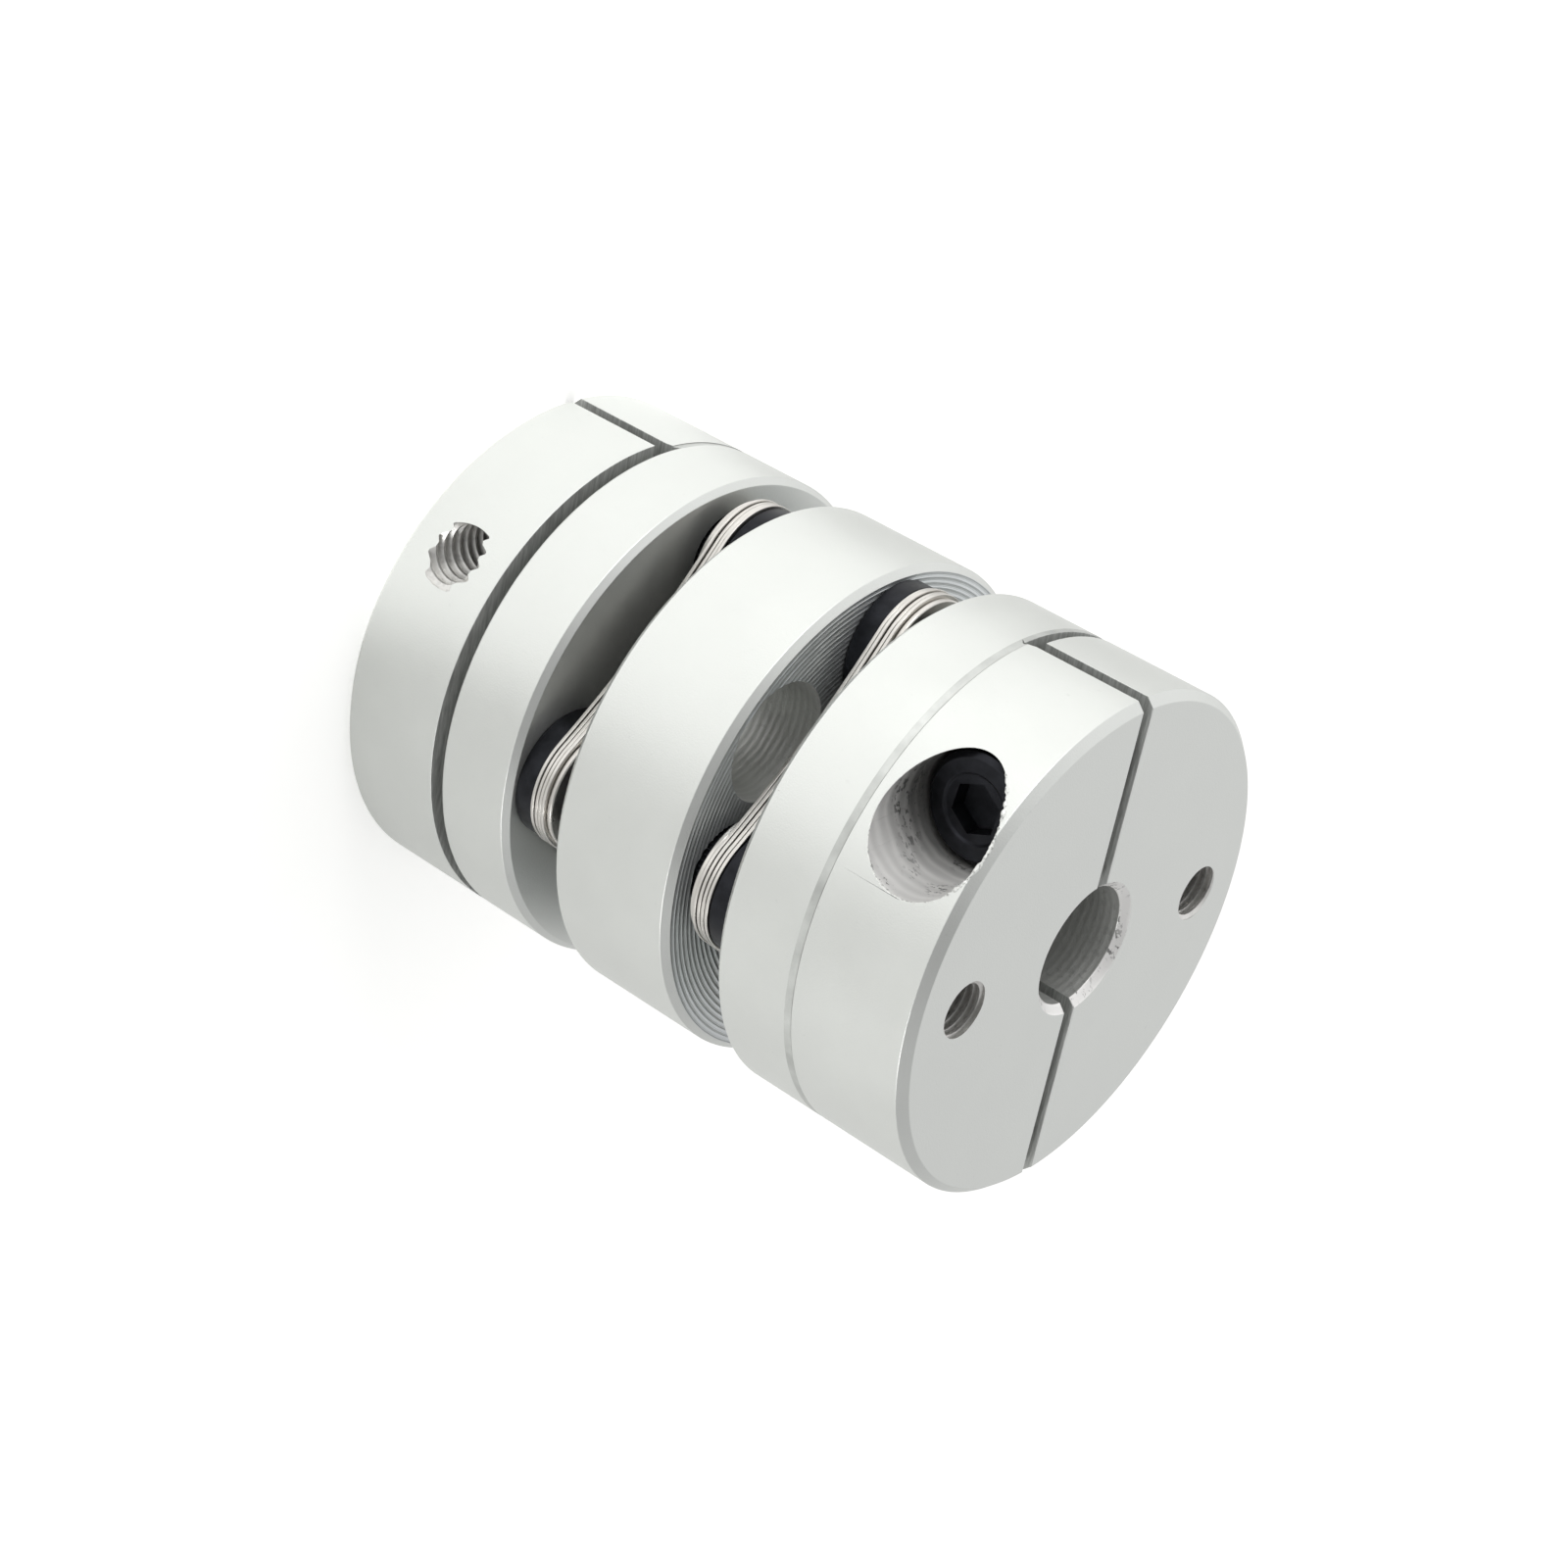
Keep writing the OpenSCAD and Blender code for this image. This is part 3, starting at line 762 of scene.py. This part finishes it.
class COUPLING_OT_hubs(bpy.types.Operator):
    """Adds the two clamp hubs, with their slits, counterbores and cut threads"""
    bl_idname = "coupling.add_hubs"
    bl_label = "Add clamp hubs"

    def execute(self, context):
        settings = context.scene.coupling
        colours = settings.colours
        finish = {
            "blasted": blasted_aluminium(colours.blasted),
            # The milled walls carry painted shade deep in each counterbore
            "milled": bored_aluminium("milled_aluminium", colours.milled, "Y", feed=0.9 * MM, torn_share=1,
                                      metallic=0.35, painted_shade_span=(8.4 * MM, 11.8 * MM)),
            "bored": bored_aluminium("bored_anodised_aluminium", colours.bored, "Z", feed=0.5 * MM,
                                     torn_share=0.15, metallic=0.65),
            "bevelled": bored_aluminium("bevelled_aluminium", colours.milled, "Z", feed=0.5 * MM,
                                        torn_share=0.8, metallic=0.5),
            "sawn": sawn_aluminium(colours.sawn),
            "scored": scored_aluminium(colours.scored),
            "thread": cut_thread(colours.thread)}
        for name, place, slit_w in (("top_hub", UPPER, settings.hub.top_slit_w),
                                    ("bottom_hub", LOWER, settings.hub.bottom_slit_w)):
            piece = hub_with_holes(settings.hub, settings.thread, finish, slit_w)
            piece.name = name + "_turned"
            piece.data.transform(place)
            break_edges(piece, settings.hub.edge, [finish["thread"]])
            hand_over(piece, "hub_aluminium", name)
        return {"FINISHED"}


def ragged_thread(mesh, points, thickness, dice, calm, sides=6):
    """A thin closed strip along points that swells and shrinks at random, less so the calmer it is,
    and tapers off over its last four points at both ends."""
    rows, last, most, least = [], len(points) - 1, 1.6, 0.002 * MM
    for i, point in enumerate(points):
        ahead = (points[min(i + 1, last)] - points[max(i - 1, 0)]).normalized()
        side = ahead.orthogonal().normalized()
        taper = min(1, i / 4, (last - i) / 4)
        radius = max(thickness * taper * (calm + (1 - calm) * dice.random() * most), least)
        turns = [Matrix.Rotation(2 * math.pi / sides * k, 3, ahead) for k in range(sides)]
        rows.append([mesh.verts.new(point + turn @ side * radius) for turn in turns])
    for row, following in zip(rows, rows[1:]):
        for k in range(sides):
            mesh.faces.new([row[k], row[k - 1], following[k - 1], following[k]])
    mesh.faces.new(rows[0])
    mesh.faces.new(rows[-1][::-1])


class COUPLING_OT_wear(bpy.types.Operator):
    """Adds the torn burr round the top counterbore, and the nicks and bruises on the rims"""
    bl_idname = "coupling.add_wear"
    bl_label = "Add burrs and nicks"

    def execute(self, context):
        settings = context.scene.coupling
        sizes, hub = settings.wear, settings.hub
        dice = random.Random(sizes.seed)
        spot = cad_place("top_clamp_screw")

        def mouth(turn):
            """Point on the edge where the counterbore breaks through the rim."""
            turn = math.radians(turn)
            x, z = spot.x + hub.clamp_hole_r * math.cos(turn), spot.z + hub.clamp_hole_r * math.sin(turn)
            reach = hub.outer_r - sizes.lip - max(0, z - COUPLING_L + hub.rim_chamfer)
            return Vector((x, math.sqrt(reach ** 2 - x ** 2), z))

        def rim(turn, height, radius):
            turn = math.radians(turn)
            return Vector((radius * math.cos(turn), radius * math.sin(turn), height))

        mesh = bmesh.new()
        ragged_thread(mesh, [mouth(turn) for turn in TORN_MOUTH], sizes.burr, dice, calm=0.25)
        ragged_thread(mesh, [mouth(turn) for turn in LIPPED_MOUTH], sizes.lip, dice, calm=0.8)
        edge = SPACER_HIGH.z - settings.spacer.rim_chamfer
        flange = COUPLING_L - hub.hub_l + hub.gap_chamfer
        for marks, base, thickness, calm in ((NICKS, edge, sizes.nick, 0.6),
                                             (BRUISES, flange, sizes.bruise, 0.3)):
            for turn, on, height, up, count in marks:
                points = [rim(turn + on * i, base + (height + up * i) * MM, hub.outer_r - thickness)
                          for i in range(count)]
                ragged_thread(mesh, points, thickness, dice, calm)
        bmesh.ops.recalc_face_normals(mesh, faces=mesh.faces)
        burr = solid_of("burrs_and_nicks", mesh, [torn_aluminium(settings.colours.bored)])
        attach(burr, "root")
        return {"FINISHED"}


class COUPLING_OT_spacer(bpy.types.Operator):
    """Adds the centre spacer, with turned grooves on its faces and its windows"""
    bl_idname = "coupling.add_spacer"
    bl_label = "Add centre spacer"

    def execute(self, context):
        settings = context.scene.coupling
        sizes = settings.spacer
        bored = bpy.data.materials["bored_anodised_aluminium"]
        thread_finish = bpy.data.materials["tapped_aluminium"]
        r, c, low, high = sizes.outer_r, sizes.rim_chamfer, SPACER_LOW.z, SPACER_HIGH.z
        count = int((r - c - sizes.opening_r - sizes.plain_w) / sizes.feed)
        start = r - c - count * sizes.feed
        face = []
        for i in range(count):
            at = start + i * sizes.feed
            # A round-nosed tool leaves a groove with sharp crests
            face += [(at, 0), (at + 0.3 * sizes.feed, sizes.groove), (at + 0.7 * sizes.feed, sizes.groove)]
        outline = [(sizes.opening_r, low)] + [(x, low + d) for x, d in face]
        outline += [(r - c, low), (r, low + c), (r, high - c), (r - c, high)]
        outline += [(x, high - d) for x, d in reversed(face)] + [(sizes.opening_r, high)]
        spacer = solid_of("spacer_turned", turned(outline, steps=256), [
            bpy.data.materials["blasted_clear_anodised_aluminium"],
            turned_aluminium(settings.colours.turned)])
        for polygon in spacer.data.polygons:
            polygon.material_index = int(math.hypot(*polygon.center[:2]) < r - c)
        thread, low, high = settings.thread, low - TOOL_PAST, high + TOOL_PAST
        for k in (1, 3):
            window = Matrix.Rotation(place_turn(k) + sizes.window_turn, 4, "Z") \
                @ Matrix.Translation((sizes.window_at, 0, 0))
            cut(spacer, drill(sizes.window_r, low, high), bored, window)
            tap = threaded_rod(thread.major_r, thread.fine_r, thread.fine_pitch, low, high)
            cut(spacer, tap, thread_finish, around(k))
            cut(spacer, drill(sizes.head_hole_r, low, high), bored, around(k + 1))
        break_edges(spacer, sizes.edge, [thread_finish], limit=math.radians(40))
        hand_over(spacer, "spacer_aluminium", "centre_spacer")
        return {"FINISHED"}


def leaf_edge(sizes, screw_r):
    """Outline of a lamina: four lobes, joined by long hollow arcs that meet them on a tangent."""
    half = screw_r / math.sqrt(2)
    hollow_r = (half ** 2 + sizes.side_hollow ** 2) / (2 * sizes.side_hollow) - sizes.lobe_r
    hollow_at = (half + sizes.lobe_r - sizes.side_hollow + hollow_r) / math.sqrt(2)
    lean = math.atan2(hollow_at, hollow_at - screw_r)
    inward = 5 * math.pi / 4
    spread = lean + math.pi - inward
    lobe_steps, bend_steps = 48, 24
    points = []
    for k in range(4):
        turn = Matrix.Rotation(math.pi / 2 * k, 2)
        lobe = [(screw_r + sizes.lobe_r * math.cos(a), sizes.lobe_r * math.sin(a))
                for a in (lean * (2 * i / lobe_steps - 1) for i in range(lobe_steps + 1))]
        bend = [(hollow_at + hollow_r * math.cos(a), hollow_at + hollow_r * math.sin(a))
                for a in (inward + spread * (1 - 2 * i / bend_steps) for i in range(1, bend_steps))]
        points += [turn @ Vector(p) for p in lobe + bend]
    return points


def lamina(sizes, material):
    """One blanked steel lamina with rounded edges, standing just above z = 0."""
    mesh = bmesh.new()

    def ring(points):
        verts = [mesh.verts.new((x, y, sizes.leaf_gap / 2)) for x, y in points]
        return [mesh.edges.new((a, b)) for a, b in zip(verts, verts[1:] + verts[:1])]

    def circle(radius, x, y, steps):
        turns = [2 * math.pi * i / steps for i in range(steps)]
        return [(x + radius * math.cos(a), y + radius * math.sin(a)) for a in turns]

    edges = ring(leaf_edge(sizes, SCREW_R)) + ring(circle(sizes.opening_r, 0, 0, steps=96))
    for k in range(4):
        spot = Matrix.Rotation(math.pi / 2 * k, 2) @ Vector((SCREW_R, 0))
        edges += ring(circle(sizes.hole_r, spot.x, spot.y, steps=48))
    bmesh.ops.triangle_fill(mesh, edges=edges, use_beauty=True, use_dissolve=False)
    lifted = bmesh.ops.extrude_face_region(mesh, geom=list(mesh.faces))
    for vert in [g for g in lifted["geom"] if isinstance(g, bmesh.types.BMVert)]:
        vert.co.z += sizes.leaf_t - sizes.leaf_gap
    bmesh.ops.recalc_face_normals(mesh, faces=mesh.faces)
    leaf = solid_of("lamina", mesh, [material])
    break_edges(leaf, sizes.edge, limit=math.radians(60))
    return leaf


class COUPLING_OT_packs(bpy.types.Operator):
    """Adds the two packs of spring steel laminae"""
    bl_idname = "coupling.add_disc_packs"
    bl_label = "Add disc packs"

    def execute(self, context):
        settings = context.scene.coupling
        sizes = settings.pack
        strip = bright_strip(settings.colours.strip)
        for i, side in enumerate(SIDES):
            leaf = lamina(sizes, strip)
            nodes = [f"{side}_disc_{k}" for k in range(1, sizes.leaves + 1)]
            places = [((0, 0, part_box(node)[0].z), (0, 0, 0)) for node in nodes]
            pack = repeat(f"{side}_laminae", leaf, places, strip, slip=sizes.slip,
                          spin=sizes.slip / SCREW_R, seed=sizes.seed + i)
            hand_over(pack, "spring_steel", *nodes)
        return {"FINISHED"}


def socket_screw(sizes, r, shank_l, material, inner):
    """Socket head cap screw along Z with its seat at z = 0 and its head above."""
    h, ring, deep = sizes.head_h, sizes.ring_r, sizes.ring_depth
    bevel, foot, plain = sizes.head_bevel, sizes.seat_bevel, h - sizes.plain_h
    head = turned([(0, 0), (r - foot, 0), (r, foot), (r, plain), (r, h - bevel), (r - bevel, h),
                   (ring + deep, h), (ring, h - deep), (0, h - deep)], steps=sizes.knurls * 4, phase=0)
    for vert in head.verts:
        out = math.hypot(vert.co.x, vert.co.y)
        share = (math.atan2(vert.co.y, vert.co.x) / (2 * math.pi) * sizes.knurls) % 1
        # Three of a knurl's four corners lie in its groove
        if out > r - HAIR and abs(share - 0.5) < 0.3 and vert.co.z < plain + HAIR:
            vert.co.x *= 1 - sizes.knurl_depth / r
            vert.co.y *= 1 - sizes.knurl_depth / r
    screw = solid_of("screw", head, [material])
    floor, corner, tip = h - sizes.key_depth, sizes.key_af / math.sqrt(3), sizes.key_af / 2
    cut(screw, drill(corner, floor, h + TOOL_PAST, steps=6), inner)
    point = [(0, floor - sizes.point_depth), (tip, floor), (tip, floor + HAIR), (0, floor + HAIR)]
    cut(screw, turned(point, steps=48), inner)
    shank = threaded_rod(sizes.shank_r, sizes.root_r, sizes.pitch, sizes.pitch - shank_l, 0.0, steps=48)
    cut(screw, shank, material, keep=True)
    break_edges(screw, sizes.edge, [inner], limit=math.radians(40))
    return screw


class COUPLING_OT_screws(bpy.types.Operator):
    """Adds the clamp screws and the disc screws"""
    bl_idname = "coupling.add_screws"
    bl_label = "Add screws"

    def execute(self, context):
        settings = context.scene.coupling
        sizes = settings.screw
        oxide = black_oxide(settings.colours.oxide)
        # The socket's faces get this finish only while its edges are kept sharp
        inner = bpy.data.materials.new("socket")
        clamps, discs = {}, {}
        for node, way in (("top_clamp_screw", 1), ("bottom_clamp_screw", -1)):
            spot = cad_place(node)
            clamps[node] = (spot.x, way * (CLAMP_HIGH.y - sizes.head_h), spot.z), (-way * math.pi / 2, 0, 0)
        for side in SIDES:
            for k in (1, 2, 3, 4):
                node = f"{side}_disc_screw_{k}"
                spot, (low, high) = cad_place(node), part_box(node)
                up = (k % 2 == 1) == (side == "upper")
                seat = high.z - sizes.head_h if up else low.z + sizes.head_h
                discs[node] = (spot.x, spot.y, seat), (0 if up else math.pi, 0, 0)
        for name, r, shank_l, places in (("clamp_screws", sizes.head_r, sizes.clamp_l, clamps),
                                         ("disc_screws", sizes.disc_head_r, sizes.disc_l, discs)):
            shape = socket_screw(sizes, r, shank_l, oxide, inner)
            screws = repeat(name, shape, list(places.values()), oxide, spin=math.pi / 6, seed=sizes.seed)
            hand_over(screws, "black_oxide_screw", *places)
        bpy.data.materials.remove(inner)
        return {"FINISHED"}


class COUPLING_OT_rings(bpy.types.Operator):
    """Adds the collars and washers on both sides of the packs"""
    bl_idname = "coupling.add_rings"
    bl_label = "Add collars and washers"

    def execute(self, context):
        settings = context.scene.coupling
        sizes = settings.ring
        oxide = bpy.data.materials["black_oxide_steel"]
        strip = bpy.data.materials["rolled_stainless_spring_strip"]
        for kind, radius, t, finish, slot in (
                ("collar", sizes.collar_r, sizes.collar_t, oxide, "black_oxide_ring"),
                ("washer", sizes.washer_r, sizes.washer_t, strip, "spring_steel")):
            c, hole = sizes.chamfer, sizes.hole_r
            profile = [(hole, 0), (radius - c, 0), (radius, c), (radius, t - c), (radius - c, t), (hole, t)]
            ring = solid_of("ring", turned(profile, steps=128), [finish])
            break_edges(ring, sizes.edge)
            nodes = [f"{side}_{kind}_{k}" for side in SIDES for k in (1, 2, 3, 4)]
            places = []
            for node in nodes:
                spot = cad_place(node)
                places.append(((spot.x, spot.y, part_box(node)[0].z), (0, 0, 0)))
            rings = repeat(f"pack_{kind}s", ring, places, finish)
            hand_over(rings, slot, *nodes)
        return {"FINISHED"}


class COUPLING_OT_stage(bpy.types.Operator):
    """Adds the floor, the lamps, the sky and the camera"""
    bl_idname = "coupling.add_stage"
    bl_label = "Add stage"

    def execute(self, context):
        scene = context.scene
        settings = scene.coupling
        sizes = settings.stage
        mesh = bmesh.new()
        bmesh.ops.create_circle(mesh, cap_ends=True, segments=128, radius=sizes.floor_r)
        floor = solid_of("floor", mesh, [plain_floor(settings.colours.floor, sizes)])

        eye, sight = Vector(sizes.eye), Vector(sizes.sight)
        lens = bpy.data.cameras.new("camera")
        lens.lens = sizes.lens
        lens.sensor_width = sizes.sensor_w
        lens.clip_start = sizes.nearest
        camera = bpy.data.objects.new("camera", lens)
        scene.collection.objects.link(camera)
        look = (sight - eye).to_track_quat("-Z", "Y").to_matrix().to_4x4()
        camera.matrix_world = Matrix.Translation(eye) @ look @ Matrix.Rotation(sizes.roll, 4, "Z")
        scene.camera = camera

        middle, rise = Vector((0, 0, COUPLING_L / 2)), sizes.lamp_rise
        for name, power, turn in (("key_lamp", sizes.key_power, sizes.key_turn),
                                  ("fill_lamp", sizes.fill_power, sizes.fill_turn)):
            light = bpy.data.lights.new(name, "AREA")
            light.shape = "DISK"
            light.size = sizes.lamp_size
            light.energy = power
            lamp = bpy.data.objects.new(name, light)
            scene.collection.objects.link(lamp)
            way = Vector((math.cos(rise) * math.cos(turn), math.cos(rise) * math.sin(turn), math.sin(rise)))
            lamp.location = middle + sizes.lamp_reach * way
            lamp.rotation_euler = (-way).to_track_quat("-Z", "Y").to_euler()

        world = bpy.data.worlds.new("sky")
        world.use_nodes = True
        tree = world.node_tree
        tree.nodes.clear()
        way = put(tree, "ShaderNodeTexCoord").outputs["Generated"]
        lean = put(tree, "ShaderNodeVectorMath", {0: way, 1: sizes.sky_lean}, operation="DOT_PRODUCT")
        near = put(tree, "ShaderNodeVectorMath", {0: way, 1: sizes.dark_way}, operation="DOT_PRODUCT")
        dark = put(tree, "ShaderNodeMapRange", {
            "Value": near, "From Min": math.cos(sizes.dark_spread), "To Max": sizes.dark_depth},
            interpolation_type="SMOOTHSTEP")
        level = put(tree, "ShaderNodeMath", {0: lean, 1: sizes.sky}, operation="ADD")
        level = put(tree, "ShaderNodeMath", {0: level, 1: dark}, operation="SUBTRACT")
        even = put(tree, "ShaderNodeBackground", {"Color": (1, 1, 1, 1), "Strength": level})
        white = put(tree, "ShaderNodeBackground", {"Color": (1, 1, 1, 1), "Strength": 1.0})
        seen = put(tree, "ShaderNodeMixShader", {
            0: put(tree, "ShaderNodeLightPath").outputs["Is Camera Ray"], 1: even, 2: white})
        put(tree, "ShaderNodeOutputWorld", {"Surface": seen})
        scene.world = world
        scene.view_settings.view_transform = "Standard"
        return {"FINISHED"}


OPERATORS = (COUPLING_OT_hubs, COUPLING_OT_spacer, COUPLING_OT_wear, COUPLING_OT_packs, COUPLING_OT_screws,
             COUPLING_OT_rings, COUPLING_OT_stage)


class COUPLING_PT_panel(bpy.types.Panel):
    """Lists the pieces of the coupling"""
    bl_idname = "COUPLING_PT_panel"
    bl_label = "Diaphragm coupling"
    bl_space_type = "VIEW_3D"
    bl_region_type = "UI"
    bl_category = "Coupling"

    def draw(self, context):
        for operator in OPERATORS:
            self.layout.operator(operator.bl_idname)


CLASSES = (HubSizes, ThreadSizes, SpacerSizes, PackSizes, ScrewSizes, WearSizes, RingSizes, Colours,
           StageSizes, CouplingSettings, *OPERATORS, COUPLING_PT_panel)


def register():
    for item in CLASSES:
        bpy.utils.register_class(item)
    bpy.types.Scene.coupling = PointerProperty(type=CouplingSettings)


def unregister():
    del bpy.types.Scene.coupling
    for item in reversed(CLASSES):
        bpy.utils.unregister_class(item)


def main():
    register()
    bpy.ops.coupling.add_hubs()
    bpy.ops.coupling.add_spacer()
    bpy.ops.coupling.add_wear()
    bpy.ops.coupling.add_disc_packs()
    bpy.ops.coupling.add_screws()
    bpy.ops.coupling.add_rings()
    bpy.ops.coupling.add_stage()


if __name__ == "__main__":
    main()
